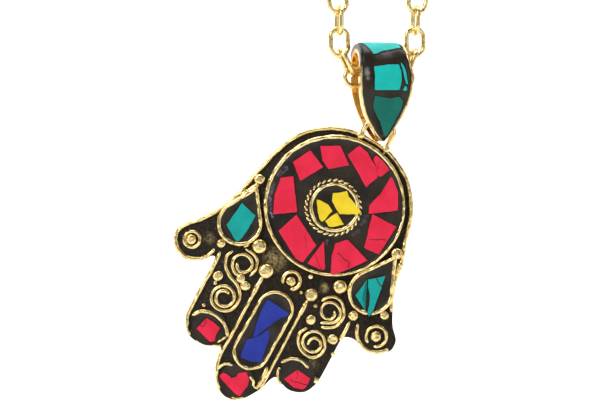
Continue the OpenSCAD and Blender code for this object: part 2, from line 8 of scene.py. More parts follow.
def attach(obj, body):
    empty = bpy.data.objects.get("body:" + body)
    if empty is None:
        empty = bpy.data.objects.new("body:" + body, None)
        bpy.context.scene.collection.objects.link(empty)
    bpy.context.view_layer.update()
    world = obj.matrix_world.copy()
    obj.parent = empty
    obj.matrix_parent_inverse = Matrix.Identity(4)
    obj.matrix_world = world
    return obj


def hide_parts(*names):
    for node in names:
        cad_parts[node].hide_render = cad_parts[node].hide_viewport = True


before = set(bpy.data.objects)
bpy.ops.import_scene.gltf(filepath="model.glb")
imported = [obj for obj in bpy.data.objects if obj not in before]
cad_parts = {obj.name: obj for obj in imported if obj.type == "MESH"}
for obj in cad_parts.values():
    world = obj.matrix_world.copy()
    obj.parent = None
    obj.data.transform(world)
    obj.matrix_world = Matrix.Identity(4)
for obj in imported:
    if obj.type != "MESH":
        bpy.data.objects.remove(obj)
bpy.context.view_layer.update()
mm = 0.001
scene = bpy.context.scene
print("frame loaded:", len(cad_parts), "nodes")

# where the hand and the bail hang, in mm: the hand is drawn flat, then turned upright and leant from its loop
hang = {"foldDrop": 166.0, "loopDrop": 182.5, "loopX": 1.118, "loopY": 21.6, "loopZ": 0.9, "lean": 27.8, "yaw": 15.0}
handPlace = (Matrix.Scale(mm, 4) @ Matrix.Translation((0, hang["loopZ"], -hang["loopDrop"]))
             @ Matrix.Rotation(radians(hang["lean"]), 4, "Y") @ Matrix.Rotation(radians(90), 4, "X")
             @ Matrix.Translation((-hang["loopX"], -hang["loopY"], 0)))
bailPlace = (Matrix.Scale(mm, 4) @ Matrix.Translation((0, 0, -hang["foldDrop"]))
             @ Matrix.Rotation(radians(hang["yaw"]), 4, "Z"))
handBack = handPlace.inverted()


# camera, floor and light
studio = {"middleX": -19.7, "middleZ": -199.6, "away": 700.0, "frameWidth": 150.0, "floorZ": -268.0, "frontY": -900,
          "wallY": 420.0, "wallTop": 600, "bend": 180.0, "bendSteps": 12, "halfWide": 1200}


def placed(name, data, place=(0, 0, 0)):
    made = bpy.data.objects.new(name, data)
    made.location = place
    scene.collection.objects.link(made)
    return made


def setCamera():
    camera = bpy.data.cameras.new("camera")
    camera.lens = camera.sensor_width * studio["away"] / studio["frameWidth"]
    camera.clip_start = 0.01
    place = studio["middleX"], -studio["away"], studio["middleZ"]
    scene.camera = placed("camera", camera, [c * mm for c in place])
    scene.camera.rotation_euler = (radians(90), 0, 0)


def setLight(name, place, aim, size, watts, tint):
    lamp = bpy.data.lights.new(name, "AREA")
    lamp.shape = "RECTANGLE"
    lamp.size, lamp.size_y = size
    lamp.energy = watts
    lamp.color = tint
    turn = (Vector(aim) - Vector(place)).to_track_quat("-Z", "Y").to_euler()
    placed(name, lamp, place).rotation_euler = turn


# shader writing
def sign(operation):  # what a sign writes between two signals, and between a number and a signal
    return (lambda self, other: self.kit.calc(operation, self, other),
            lambda self, other: self.kit.calc(operation, other, self))


class Signal:
    __add__, __radd__ = sign("ADD")
    __sub__, __rsub__ = sign("SUBTRACT")
    __mul__, __rmul__ = sign("MULTIPLY")
    __truediv__, __rtruediv__ = sign("DIVIDE")
    __pow__, __rpow__ = sign("POWER")

    def __init__(self, kit, socket):
        self.kit, self.socket = kit, socket

    def step(self, low, high):  # 0 below low, 1 above high, smooth between
        return self.kit.node("ShaderNodeMapRange", {"Value": self, "From Min": low, "From Max": high}, "Result",
                             interpolation_type="SMOOTHSTEP")

    def clamped(self):
        return self.kit.calc("MINIMUM", self.kit.calc("MAXIMUM", self, 0.0), 1.0)


class Wiring:  # what material trees and geometry trees share
    def __init__(self, tree):
        self.tree = tree

    def node(self, kind, values={}, out=0, **settings):
        made = self.tree.nodes.new(kind)
        for key, value in settings.items():
            setattr(made, key, value)
        for key, value in values.items():
            self.put(made.inputs[key], value)
        return Signal(self, made.outputs[out])

    def put(self, socket, value):
        if isinstance(value, Signal):
            self.tree.links.new(value.socket, socket)
        else:
            socket.default_value = (*value, 1.0) if socket.type == "RGBA" else value

    def calc(self, operation, *values):
        return self.node("ShaderNodeMath", dict(enumerate(values)), operation=operation)

    def vector(self, operation, *values, out="Vector", **named):
        return self.node("ShaderNodeVectorMath", {**dict(enumerate(values)), **named}, out, operation=operation)

    def axis(self, vector, letter):
        return self.node("ShaderNodeSeparateXYZ", {0: vector}, letter)


class Finish(Wiring):
    def __init__(self, name):
        self.material = bpy.data.materials.new(name)
        self.material.use_nodes = True
        super().__init__(self.material.node_tree)
        self.surface = self.tree.nodes["Principled BSDF"]

    def spot(self, kind="Object"):
        return self.node("ShaderNodeTexCoord", out=kind)

    def grain(self, scale, detail=3.0, rough=0.5, out="Fac"):  # scale in lumps per mm
        return self.node("ShaderNodeTexNoise", {"Vector": self.spot(), "Scale": scale / mm, "Detail": detail,
                                                "Roughness": rough}, out)

    def tint(self, mask, low, high):
        return self.node("ShaderNodeMix", {0: mask, 6: low, 7: high}, 2, data_type="RGBA")

    def near(self, point, radius):  # 1 at a point in metres, fading out about a radius in mm away
        gap = self.vector("DISTANCE", self.spot(), tuple(point), out="Value")
        return 1 - gap.step(0.1 * radius * mm, 1.9 * radius * mm)

    def bump(self, height, strength, reach):
        return self.node("ShaderNodeBump", {"Strength": strength, "Distance": reach * mm, "Height": height}, "Normal")

    def set(self, **values):
        for key, value in values.items():
            name = "".join(" " + c if c.isupper() else c for c in key).strip().title().replace("Ior", "IOR")
            self.put(self.surface.inputs[name], value)
        return self.material


brassLook = {"bright": (0.9, 0.73, 0.35), "deep": (0.58, 0.37, 0.09), "tarnish": (0.24, 0.13, 0.03),
             "rough": 0.15, "worn": 0.17}
# grime and painted shade: the wires are painted darker low down near the plate, where shade falls
creviceLook = {"grime": (0.03, 0.016, 0.008), "darkBelow": 1.26, "brightAbove": 1.56, "uneven": 0.35,
               "rough": 0.3, "dull": 0.85}
# glow: a painted warm glow on the leaf at the back of the bail
bailLook = {"glow": (0.62, 0.3, 0.05), "smear": (0.02, 0.013, 0.009), "blend": 0.0015, "inner": 0.004,
            "outer": 0.0043, "below": -0.002, "left": -0.003}


def handOverlay(kit, fine, tone):  # grime and painted shade in the crevices: darker lower down, by the height in mm above the back of the hand's plate
    height = hang["loopZ"] - kit.axis(kit.spot(), "Y") / mm + (fine - 0.5) * creviceLook["uneven"]
    darkMask = 1 - height.step(creviceLook["darkBelow"], creviceLook["brightAbove"])
    return kit.tint(darkMask, tone, creviceLook["grime"]), darkMask * creviceLook["rough"], 1 - darkMask * creviceLook["dull"]


def bailOverlay(kit, fine, tone):  # painted glow: the leaf at the back is painted warmer, as if lit from inside the hollow; resin is smeared over the fold's left end
    turn, blend = radians(hang["yaw"]), bailLook["blend"]
    depth = kit.axis(kit.spot(), "Y") * cos(turn) - kit.axis(kit.spot(), "X") * sin(turn)
    height = kit.axis(kit.spot(), "Z") + hang["foldDrop"] * mm
    smear = ((depth * depth + height * height) ** 0.5).step(bailLook["inner"], bailLook["outer"])
    smear = smear * height.step(bailLook["below"], 0) * (1 - kit.axis(kit.spot(), "X").step(bailLook["left"], 0))
    # painted glow on the back leaf
    tone = kit.tint(depth.step(-blend, blend), tone, bailLook["glow"])
    return kit.tint(smear, tone, bailLook["smear"]), 0.0, 1 - smear


def brassFinish(name, warm=0.0, overlay=None):
    kit = Finish(name)
    cloud, fine = kit.grain(0.35, 4.0), kit.grain(2.6, 3.0)
    patch = cloud.step(0.35, 0.7) * 0.45 + (fine - 0.5) * 0.7 + warm
    tone = kit.tint(patch.clamped(), brassLook["bright"], brassLook["deep"])
    tone = kit.tint(kit.grain(1.1, 3.0, 0.6).step(0.52, 0.68) * 0.7, tone, brassLook["tarnish"])
    roughness, metallic = brassLook["rough"] + fine.step(0.45, 0.75) * brassLook["worn"], 1.0
    if overlay:
        tone, rougher, metallic = overlay(kit, fine, tone)
        roughness = roughness + rougher
    return kit.set(baseColor=tone, roughness=roughness, metallic=metallic,
                   normal=kit.bump(cloud * 0.6 + fine * 0.25, 0.35, 0.12))


plateLook = {"black": (0.007, 0.004, 0.002), "brown": (0.03, 0.019, 0.008), "rough": 0.3, "dirtRough": 0.14,
             "dirtDull": 0.95}
# where its black is rubbed off, on the flat hand: x, y, radius and strength
plateWear = ((-24, -21.7, 1.1, 0.3), (-7, -19, 2.2, 0.5), (7.3, -19.3, 0.9, 0.7), (13.5, -38, 1.2, 0.35))


def plateFinish():  # black in front, brass on its edge and back
    kit = Finish("antiquedPlate")
    front = (-1 * kit.axis(kit.spot("Normal"), "Y")).step(0.35, 0.75)
    fine, cloud = kit.grain(1.8, 4.0, 0.6), kit.grain(0.3, 3.0)
    worn = fine.step(0.62, 0.8) * 0.35 * cloud.step(0.4, 0.6)
    for x, y, radius, strength in plateWear:
        worn = worn + kit.near(handPlace @ Vector((x, y, plateTop)), radius) * (fine.step(0.3, 0.7) * strength)
    darkMask = (front - worn.clamped()).clamped()
    brass = kit.tint(cloud.step(0.2, 0.85) * 0.7, brassLook["bright"], brassLook["deep"])
    ground = kit.tint(fine.step(0.35, 0.75), plateLook["black"], plateLook["brown"])
    return kit.set(baseColor=kit.tint(darkMask, brass, ground), metallic=1 - darkMask * plateLook["dirtDull"],
                   roughness=plateLook["rough"] + darkMask * plateLook["dirtRough"], specularIorLevel=0.2,
                   normal=kit.bump(fine + cloud * 0.5, 0.5, 0.12))


resinLook = {"dark": (0.009, 0.006, 0.003), "light": (0.026, 0.018, 0.01), "bailGlare": (0.42, 0.38, 0.38),
             "discGlare": (0.3, 0.26, 0.34), "rough": 0.3, "dull": 0.1}
# painted highlights on the bail's resin: x, y, z, radius and strength
bailGlare = ((-3.2, -6.2, -167.2, 0.55, 0.5), (-3.1, -6.3, -168.2, 0.6, 0.7), (-2.9, -6.3, -169.4, 0.45, 0.5),
             (-0.4, -5.2, -163.6, 1.0, 0.13), (1.2, -4.8, -163.2, 1.1, 0.17), (2.8, -4.4, -163, 1.0, 0.13))
# painted highlight streaks on the disc's resin, on the flat hand: from, to, width and strength
discGlare = (((-16.2, -2.2), (-15.3, -5.8), 0.8, 0.34), ((-15.3, -5.8), (-13.7, -8.6), 0.75, 0.3),
             ((-13.2, -9), (-12.5, -9.5), 0.45, 0.8), ((-16, 0.4), (-15.1, 2.7), 0.85, 0.32),
             ((7.7, 4.6), (7.9, 4.1), 0.55, 0.3), ((8.3, 1.5), (8.1, -1), 0.7, 0.18),
             ((8.1, -2.9), (7.6, -4.2), 0.7, 0.16), ((2.2, -8.5), (2.5, -9.4), 0.5, 0.32))


def resinFinish():
    kit = Finish("blackResin")
    cloud, fine = kit.grain(0.22, 3.0), kit.grain(1.6, 2.0)
    tone = kit.tint(cloud.step(0.3, 0.7), resinLook["dark"], resinLook["light"])
    # painted highlights on the bail's resin
    for *spot, radius, strength in bailGlare:
        mask = kit.near([c * mm for c in spot], radius) * (strength * fine.step(0.2, 0.6))
        tone = kit.tint(mask, tone, resinLook["bailGlare"])
    # painted highlight streaks on the disc's resin
    for start, end, width, strength in discGlare:
        mask = waveringLine(kit, start, end, width) * (strength * fine.step(0.25, 0.75))
        tone = kit.tint(mask, tone, resinLook["discGlare"])
    return kit.set(baseColor=tone, roughness=resinLook["rough"] + fine.step(0.4, 0.8) * resinLook["dull"],
                   normal=kit.bump(cloud, 0.3, 0.3), specularIorLevel=0.22, coatWeight=0.14, coatRoughness=0.12)


stoneLook = {"crack": (0.02, 0.008, 0.01), "rough": 0.62, "uneven": 0.2}
coralCracks = (((11.7, -3.3), (15.2, -1.4), 0.14), ((6.1, -10), (9.8, -10.8), 0.16), ((9.8, -10.8), (10, -12), 0.1),
               ((1.3, -13), (4.5, -15.6), 0.1), ((4.6, 15), (5.2, 13.2), 0.08), ((11, -40.7), (11.8, -42.5), 0.1),
               ((10.6, -43.6), (14.9, -42.8), 0.13), ((-14.9, -40.3), (-15, -42), 0.12),
               ((-15.9, -41.9), (-15, -42), 0.1), ((-3.4, -9.2), (-1.6, -12.4), 0.07))
turquoiseCracks = (((17.7, -11.3), (19.9, -12.4), 0.2),)


def stoneFinish(name, light, deep, cracks=()):  # cracks on the flat hand: from, to and width
    kit = Finish(name)
    cloud, fine = kit.grain(0.28, 3.0), kit.grain(3.5, 4.0, 0.65)
    tone = kit.tint((cloud.step(0.3, 0.72) * 0.8 + (fine - 0.5) * 0.35).clamped(), light, deep)
    relief = fine * 0.5 + cloud * 0.5
    for start, end, width in cracks:
        line = waveringLine(kit, start, end, width)
        tone = kit.tint(line, tone, stoneLook["crack"])
        relief = relief - line * 1.2
    return kit.set(baseColor=tone, roughness=stoneLook["rough"] + (fine - 0.5) * stoneLook["uneven"],
                   normal=kit.bump(relief, 0.3, 0.1), specularIorLevel=0.2)


lineWave = {"lumps": 0.9, "swing": 0.9, "core": 0.4}  # lumps per mm, mm, and the share of the width without a fade


def waveringLine(kit, start, end, width):  # 1 on a wavering line between two points of the hand, seen from the front
    start, end = (handPlace @ Vector((*p, 3)) for p in (start, end))
    along, swing = end - start, lineWave["swing"] * mm
    wave = kit.grain(lineWave["lumps"], 2.0, out="Color")
    drift = kit.vector("MULTIPLY_ADD", wave, (swing,) * 3, kit.spot())
    away = kit.vector("SUBTRACT", drift, tuple(start + Vector((swing / 2,) * 3)))
    away = kit.vector("MULTIPLY", away, (1.0, 0.0, 1.0))
    share = kit.vector("DOT_PRODUCT", away, tuple(along / along.length_squared), out="Value").clamped()
    nearest = kit.vector("SCALE", tuple(along), Scale=share)
    return 1 - kit.vector("DISTANCE", away, nearest, out="Value").step(width * lineWave["core"] * mm, width * mm)


# geometry trees
class Form(Wiring):
    def __init__(self, name, inputs):
        tree = bpy.data.node_groups.new(name, "GeometryNodeTree")
        super().__init__(tree)
        sorts = {"Geometry": "NodeSocketGeometry", "Finish": "NodeSocketMaterial", "Seed": "NodeSocketInt"}
        for key in ("Geometry", *inputs, "Finish"):
            tree.interface.new_socket(key, in_out="INPUT", socket_type=sorts.get(key, "NodeSocketFloat"))
        tree.interface.new_socket("Geometry", in_out="OUTPUT", socket_type="NodeSocketGeometry")
        self.entry = tree.nodes.new("NodeGroupInput")
        self.exit = tree.nodes.new("NodeGroupOutput")

    def geo(self, kind, values={}, out=0, **settings):
        return self.node("GeometryNode" + kind, values, out, **settings)

    def __getitem__(self, name):
        return Signal(self, self.entry.outputs[name])

    def attribute(self, name, kind="FLOAT"):
        return self.geo("InputNamedAttribute", {"Name": name}, "Attribute", data_type=kind)

    def place(self):
        return self.geo("InputPosition")

    def joined(self, **axes):
        return self.node("ShaderNodeCombineXYZ", axes)

    def moved(self, geometry, offset):
        return self.geo("SetPosition", {"Geometry": geometry, "Offset": offset})

    def bar(self, width, height, radius, count):  # a rectangle with rounded corners
        box = self.geo("CurvePrimitiveQuadrilateral", {"Width": width, "Height": height})
        return self.geo("FilletCurve", {"Curve": box, "Count": count, "Radius": radius, "Limit Radius": True},
                        mode="POLY")

    def noise(self, scale, detail=1.0, out="Color"):
        values = {"Vector": self.place(), "W": self["Seed"], "Scale": scale, "Detail": detail}
        return self.node("ShaderNodeTexNoise", values, out, noise_dimensions="4D")

    def wander(self, geometry, amount, scale):  # pushes points about, by up to half the amount
        away = self.vector("SUBTRACT", self.noise(scale), (0.5, 0.5, 0.5))
        return self.moved(geometry, self.vector("SCALE", away, Scale=amount))

    def dent(self, geometry, amount, scale):  # uneven, hand-worked surface
        depth = (self.noise(scale, 2.0, "Fac") - 0.5) * amount
        return self.moved(geometry, self.vector("SCALE", self.geo("InputNormal"), Scale=depth))

    def finish(self, geometry, amount, scale):
        whole = self.geo("RealizeInstances", {"Geometry": geometry})
        smooth = self.geo("SetShadeSmooth", {"Geometry": self.dent(whole, amount, scale)})
        coated = self.geo("SetMaterial", {"Geometry": smooth, "Material": self["Finish"]})
        self.put(self.exit.inputs["Geometry"], coated)
        return self.tree


def wireForm():  # a bar with rounded corners along every path
    form = Form("wireForm", ("Width", "Tall", "Round", "Wander", "Dent", "Seed"))
    path = form.geo("MeshToCurve", {"Mesh": form["Geometry"]})
    path = form.wander(path, form["Wander"], 0.35)
    path = form.geo("SetCurveNormal", {"Curve": path}, mode="Z_UP")
    bar = form.bar(form["Width"], form["Tall"], form["Round"], 5)
    solid = form.geo("CurveToMesh", {"Curve": path, "Profile Curve": bar, "Scale": form.attribute("thick"),
                                     "Fill Caps": True})
    return form.finish(solid, form["Dent"], 0.9)


def twistForm():  # two thin wires twisted round each path
    form = Form("twistForm", ("Turns", "Strand", "Swing", "Steps", "Seed"))
    path = form.geo("MeshToCurve", {"Mesh": form["Geometry"]})
    path = form.geo("ResampleCurve", {"Curve": path, "Count": form["Steps"]}, mode="COUNT")
    path = form.geo("SetCurveNormal", {"Curve": path}, mode="Z_UP")
    share = form.geo("SplineParameter", out="Factor")
    side = form.geo("InputNormal")
    section = form.geo("CurvePrimitiveCircle", {"Resolution": 8, "Radius": form["Strand"]})
    both = form.tree.nodes.new("GeometryNodeJoinGeometry")
    for phase in (0, pi):
        angle = share * form["Turns"] * (2 * pi) + phase
        across = form.vector("SCALE", side, Scale=form.calc("COSINE", angle) * form["Swing"])
        up = form.joined(Z=form.calc("SINE", angle) * form["Swing"])
        strand = form.moved(path, form.vector("ADD", across, up))
        solid = form.geo("CurveToMesh", {"Curve": strand, "Profile Curve": section})
        form.put(both.inputs[0], solid)
    return form.finish(Signal(form, both.outputs[0]), form["Strand"] * 0.3, 1.1)


def granuleForm():  # melted balls, a little uneven, pressed flat on the plate
    form = Form("granuleForm", ("Squash", "Dent", "Seed"))
    ball = form.geo("MeshIcoSphere", {"Radius": 1.0, "Subdivisions": 4})
    height = form.axis(form.place(), "Z")
    ball = form.moved(ball, form.joined(Z=form.calc("SMOOTH_MIN", height, 0.72, 0.35) - height))
    size = form.attribute("size")
    size = form.joined(X=size, Y=size, Z=size * form["Squash"])
    balls = form.geo("InstanceOnPoints", {"Points": form["Geometry"], "Instance": ball, "Scale": size})
    return form.finish(balls, form["Dent"], 0.55)


def linkForm():  # an oval link of round wire on each point, turned by the point's own angles
    form = Form("linkForm", ("Length", "Width", "Wire", "Dent", "Seed"))
    wire = form["Wire"]
    wide = form["Width"] - wire
    oval = form.bar(form["Length"] - wire, wide, wide * 0.5, 9)
    section = form.geo("CurvePrimitiveCircle", {"Resolution": 12, "Radius": wire * 0.5})
    link = form.geo("CurveToMesh", {"Curve": oval, "Profile Curve": section})
    turn = form.node("FunctionNodeEulerToRotation", {"Euler": form.attribute("turn", "FLOAT_VECTOR")})
    links = form.geo("InstanceOnPoints", {"Points": form["Geometry"], "Instance": link, "Rotation": turn})
    return form.finish(links, form["Dent"], 0.8)


def addObject(name, mesh, body, slot, *nodes):
    piece = placed(name, mesh)
    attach(piece, body)
    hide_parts(*nodes)


def grow(tree, mesh, finish, place, **sizes):  # runs a geometry tree on a mesh in mm and gives the mesh in the frame
    holder = placed("growing", mesh)
    modifier = holder.modifiers.new("grow", "NODES")
    modifier.node_group = tree
    for item in tree.interface.items_tree:
        if item.in_out == "INPUT" and item.name in sizes:
            modifier[item.identifier] = sizes[item.name]
        elif item.in_out == "INPUT" and item.name == "Finish":
            modifier[item.identifier] = finish
    ready = bpy.data.meshes.new_from_object(holder.evaluated_get(bpy.context.evaluated_depsgraph_get()))
    bpy.data.objects.remove(holder)
    ready.transform(place)
    for attribute in list(ready.attributes):
        if attribute.name in ("thick", "size", "turn"):
            ready.attributes.remove(attribute)
    return ready


# drawing on the flat hand, in mm
pathGap = 0.3


def polar(angle, radius=1, centre=(0, 0)):
    return Vector((centre[0] + radius * cos(radians(angle)), centre[1] + radius * sin(radians(angle))))


def arcPath(centre, radius, start=0, stop=360):
    n = max(4, round(radians(stop - start) * radius / pathGap))
    ends = n if stop - start >= 360 else n + 1
    return [polar(start + (stop - start) * i / n, radius, centre) for i in range(ends)]


def smoothPath(points, closed=False):
    p = [Vector(q) for q in points]
    p = [p[-1], *p, p[0], p[1]] if closed else [2 * p[0] - p[1], *p, 2 * p[-1] - p[-2]]
    path = []
    for a, b, c, d in zip(p, p[1:], p[2:], p[3:]):
        n = max(1, round((c - b).length / pathGap))
        for i in range(n):
            t = i / n
            path.append(0.5 * (2 * b + (c - a) * t + (2 * a - 5 * b + 4 * c - d) * t * t
                               + (3 * b - a - 3 * c + d) * t * t * t))
    return path if closed else path + [p[-2]]


def dropPath(centre, radius, point):  # a bowl with straight sides that meet a little before the point
    way = Vector(point) - Vector(centre)
    turn, half = degrees(atan2(way.y, way.x)), degrees(acos(radius / way.length))
    bowl = arcPath(centre, radius, turn + half, turn + 360 - half)
    top = Vector(centre) + way * 0.97
    ends = []
    for near, far in ((bowl[-1], top), (top, bowl[0])):
        n = max(2, int((far - near).length / pathGap))
        ends.append([near.lerp(far, i / n) for i in range(1, n)])
    return bowl + ends[0] + [top] + ends[1]


def ovalPath(centre, wide, long, lean, steps=30):
    half, turn = long - wide, Matrix.Rotation(radians(lean), 2)
    side = [2 * half * i / steps - half for i in range(1, steps)]
    ring = arcPath((0, half), wide, 0, 180) + [Vector((-wide, -y)) for y in side]
    ring += arcPath((0, -half), wide, 180, 360) + [Vector((wide, y)) for y in side]
    return [turn @ p + Vector(centre) for p in ring]


def spiralPath(centre, hole, outer, turns, start, way, steps=40):
    n = int(turns * steps)
    return [polar(start + way * 360 * turns * i / n, hole + (outer - hole) * i / n, centre) for i in range(n + 1)]


def strokes(paths, level, topKept=0.0):
    # paths: points, closed, share of the thickness; topKept: the height of a bar whose top stays where it is thinner
    places, edges, thick = [], [], []
    for points, closed, share in paths:
        first, n = len(places), len(points)
        edges += [(first + i, first + i + 1) for i in range(n - 1)] + ([(first + n - 1, first)] if closed else [])
        for i, p in enumerate(points):
            end = 1.0 if closed else min(1.0, 0.5 + 0.3 * min(i, n - 1 - i))
            own = share(p) if callable(share) else share
            thick.append(own * end * (1 + 0.2 * noise.noise(Vector((p.x * 0.5, p.y * 0.5, level)))))
            places.append((p.x, p.y, level + (1 - own) * topKept / 2))
    mesh = bpy.data.meshes.new("strokes")
    mesh.from_pydata(places, edges, [])
    mesh.attributes.new("thick", "FLOAT", "POINT").data.foreach_set("value", thick)
    return mesh


handForm = {"disc": 17.2, "centre": 5.8, "centreSpot": (0.1, -0.35), "twist": 6.8, "twistSpot": (-0.13, -0.52),
            "twistLevel": 2.85, "drop": 5.2, "leftDrop": (-18.95, -14.85), "leftPoint": (-19.3, -4.9),
            "rightDrop": (17.95, -14.95), "rightPoint": (19.35, -3.95), "rimInset": 0.42,
            "oval": (-1.3, -35.76), "ovalWide": 4.25, "ovalLong": 10.3, "ovalLean": -1.5,
            "tips": ((-13.54, -41.4), (-1.29, -50.35), (11.44, -41.88)), "tip": 4.5, "tipClear": 0.1}
plateTop = 1.2
plateSection = ((0.2, 0.0), (0.05, 0.05), (0.0, 0.2), (0.0, 1.0), (0.05, 1.14), (0.2, plateTop))  # inset, height
outlinePoints = ((19.3, 4), (17.9, 8), (14.2, 13.4), (10.2, 16.4), (5.4, 18.5), (0, 19.1), (-5.4, 18.7),
    (-10.2, 17), (-14.3, 14.1), (-17.5, 10.1), (-19.6, 5.2), (-20.7, 1), (-21.6, -2.3), (-22.3, -5.4),
    (-23.4, -9.5), (-25.6, -14.4), (-28.6, -18.6), (-31.1, -21.2), (-32.1, -23.4), (-31.9, -25.4), (-30.8, -27.2),
    (-29, -28.5), (-26.8, -29), (-24.5, -28.2), (-22.6, -26.8), (-21, -25.2), (-20.3, -26.2), (-20.3, -33),
    (-20.2, -40), (-19.8, -42.2), (-18.8, -44.1), (-17.2, -45.5), (-15, -46.1), (-12.6, -46), (-10.4, -45.2),
    (-8.9, -44.5), (-8.3, -45.6), (-8, -48.1), (-6.9, -50.8), (-5.5, -52.9), (-3.9, -54.3), (-1.8, -54.9),
    (0.5, -54.5), (2.3, -53.2), (3.8, -51.2), (5.2, -48.6), (6.2, -45.6), (7.2, -44.7), (8.6, -45.3), (11, -46),
    (13.4, -45.6), (15.2, -44.5), (16.3, -42.6), (16.9, -40), (17, -34), (17, -29.5), (17.4, -28.1), (18.6, -27.4),
    (20.2, -27.3), (22, -28), (24.3, -28.5), (26.9, -27.7), (29.1, -25.7), (29.5, -24.2), (29.1, -22.3),
    (26.9, -19.8), (25.2, -16.6), (23.7, -13.2), (22.6, -9.6), (22, -5.8), (21.3, -2.7), (20.3, -0.2))


def sector(first, last, lead=(), tail=()):  # outline points brought in to the middle of the rim wire
    n, points = len(outlinePoints), [Vector(p) for p in lead]
    for i in range(first, last + 1):
        a, p, b = (Vector(outlinePoints[j % n]) for j in (i - 1, i, i + 1))
        points.append(p + (b - a).orthogonal().normalized() * handForm["rimInset"])
    return smoothPath(points + [Vector(p) for p in tail])


def offsetPath(path, way):  # a closed path moved inwards
    n, moved = len(path), []
    for i in range(n):
        side = (path[(i + 1) % n] - path[i - 1]).orthogonal().normalized()
        moved.append(path[i] + side * way)
    return moved


def newMesh(name, places, faces):
    mesh = bpy.data.meshes.new(name)
    mesh.from_pydata(places, [], faces)
    return mesh


def bands(rows, n, joined=False):  # faces between rows of n points; joined: also from the last row to the first
    return [(k * n + i, k * n + (i + 1) % n, (k + 1) % rows * n + (i + 1) % n, (k + 1) % rows * n + i)
            for k in range(rows if joined else rows - 1) for i in range(n)]


def shell(rings, place, joined=False):  # rings of equal length, from the bottom up, closed at both ends or joined
    n, places = len(rings[0]), [p for ring in rings for p in ring]
    faces = bands(len(rings), n, joined)
    if not joined:
        faces = [list(range(n - 1, -1, -1))] + faces + [list(range(len(places) - n, len(places)))]
    mesh = newMesh("shell", places, faces)
    mesh.transform(place)
    return mesh


def smoothMesh(mesh, angle=None):  # smooth all over, or sharp where faces meet at more than the angle
    mesh.polygons.foreach_set("use_smooth", [True] * len(mesh.polygons))
    if angle:
        mesh.set_sharp_from_angle(angle=radians(angle))


def tipPath(centre):  # the edge of a fingertip's resin: a round that stops at the outline
    centre, edge, path = Vector(centre), smoothPath(outlinePoints, True), []
    for way in map(polar, range(0, 360, 4)):
        near = [(p - centre).length for p in edge if (p - centre).angle(way) < 0.06]
        path.append(centre + way * min([handForm["tip"]] + [gap - handForm["tipClear"] for gap in near]))
    return path


resinForm = {"discLevel": 3.2, "cellLevel": 2.6, "tipLevel": 2.0, "discEdge": 16.75, "discHole": 5.9,
             "centreEdge": 5.35, "cellInset": 0.45, "nearWall": (0, 0.12, 0.3, 0.55, 0.9, 1.4), "rings": 14,
             "creep": 0.4, "lump": 0.09, "lumps": 0.28}


def fillRings(path, centre, level, rise, seed, hole):
    # rings from the wall to the middle: the resin climbs its wall and lies a little uneven
    centre, creep, lumps, count = Vector(centre), resinForm["creep"], resinForm["lumps"], resinForm["rings"]
    span = sum((p - centre).length for p in path) / len(path)
    last = resinForm["nearWall"][-1]
    gaps = [*resinForm["nearWall"]] + [last + (span - hole - last) * k / count for k in range(1, count + 1)]
    rings = [[(p.x, p.y, plateTop) for p in path]]
    for gap in gaps:
        ring = []
        for p in path:
            q = p.lerp(centre, min(gap / span, 0.995))
            climb = rise * exp(-gap / creep)
            if hole:
                climb += rise * exp(-max(0, span - hole - gap) / creep)
            lump = noise.noise(Vector((q.x * lumps, q.y * lumps, seed))) * resinForm["lump"]
            ring.append((q.x, q.y, level + climb + lump * min(1, gap)))
        rings.append(ring)
    return rings + [[(x, y, plateTop) for x, y, z in rings[-1]]] if hole else rings


def resinPiece(name, path, centre, level, seed, *nodes, rise=0.22, hole=0.0):
    mesh = shell(fillRings(path, centre, level, rise, seed, hole), handPlace, hole > 0)
    smoothMesh(mesh)
    mesh.materials.append(resin)
    addObject(name, mesh, "hand", "black_resin", *nodes)


def topOutline(node):  # the outline and the height of a chip's top on the flat hand, read from its CAD solid
    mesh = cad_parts[node].data
    local = [handBack @ v.co for v in mesh.vertices]
    top = max(p.z for p in local)
    key = [(round(p.x, 3), round(p.y, 3)) for p in local]
    edges = {}
    for polygon in mesh.polygons:
        corners = list(polygon.vertices)
        if min(local[i].z for i in corners) > top - 0.01:
            edges.update({(key[a], key[b]): True for a, b in zip(corners, corners[1:] + corners[:1])})
    follow = {a: b for a, b in edges if (b, a) not in edges}
    points = [next(iter(follow))]
    while follow[points[-1]] != points[0]:
        points.append(follow[points[-1]])
    return [Vector(p) for p in points], top


def anticlockwise(points):
    points = [Vector(p) for p in points]
    area = sum(a.x * b.y - a.y * b.x for a, b in zip(points, points[1:] + points[:1]))
    return points[::-1] if area < 0 else points


chipForm = {"deep": 0.9, "step": 0.35, "ragged": 0.09, "rags": 1.3, "inset": 0.02}


def chipRings(points, top, seed, tilt=0.03, skirt=0.17):  # a ragged flank below, a rounded and tilted top
    random.seed(seed)
    lean = (random.uniform(-tilt, tilt), random.uniform(-tilt, tilt))
    middle = sum(points, Vector((0, 0))) / len(points)
    deep, rags, edge = chipForm["deep"], chipForm["rags"], []
    for a, b in zip(points, points[1:] + points[:1]):
        n = max(1, round((b - a).length / chipForm["step"]))
        side = (b - a).orthogonal().normalized()
        for i in range(n):
            p = a.lerp(b, i / n)
            rough = noise.noise(Vector((p.x * rags, p.y * rags, seed * 3.1))) * chipForm["ragged"]
            edge.append(p + side * (rough - chipForm["inset"]))
    rings = []
    for inset, drop in ((-0.2, deep), (-0.2, skirt), (0, skirt * 0.5), (0.03, 0.045), (0.09, 0.01), (0.2, 0)):
        ring = []
        for p in offsetPath(edge, inset):
            away = p - middle
            ring.append((p.x, p.y, top - drop + (lean[0] * away.x + lean[1] * away.y if drop < deep else 0)))
        rings.append(ring)
    return rings


def shadeSeamed(mesh, sides, finish):  # the stone's finish, with painted shade on the flank, a dark band where the stone meets the resin
    mesh.materials.append(finish)
    mesh.materials.append(seamShade)
    for polygon in mesh.polygons[1:2 * sides + 1]:
        polygon.material_index = 1


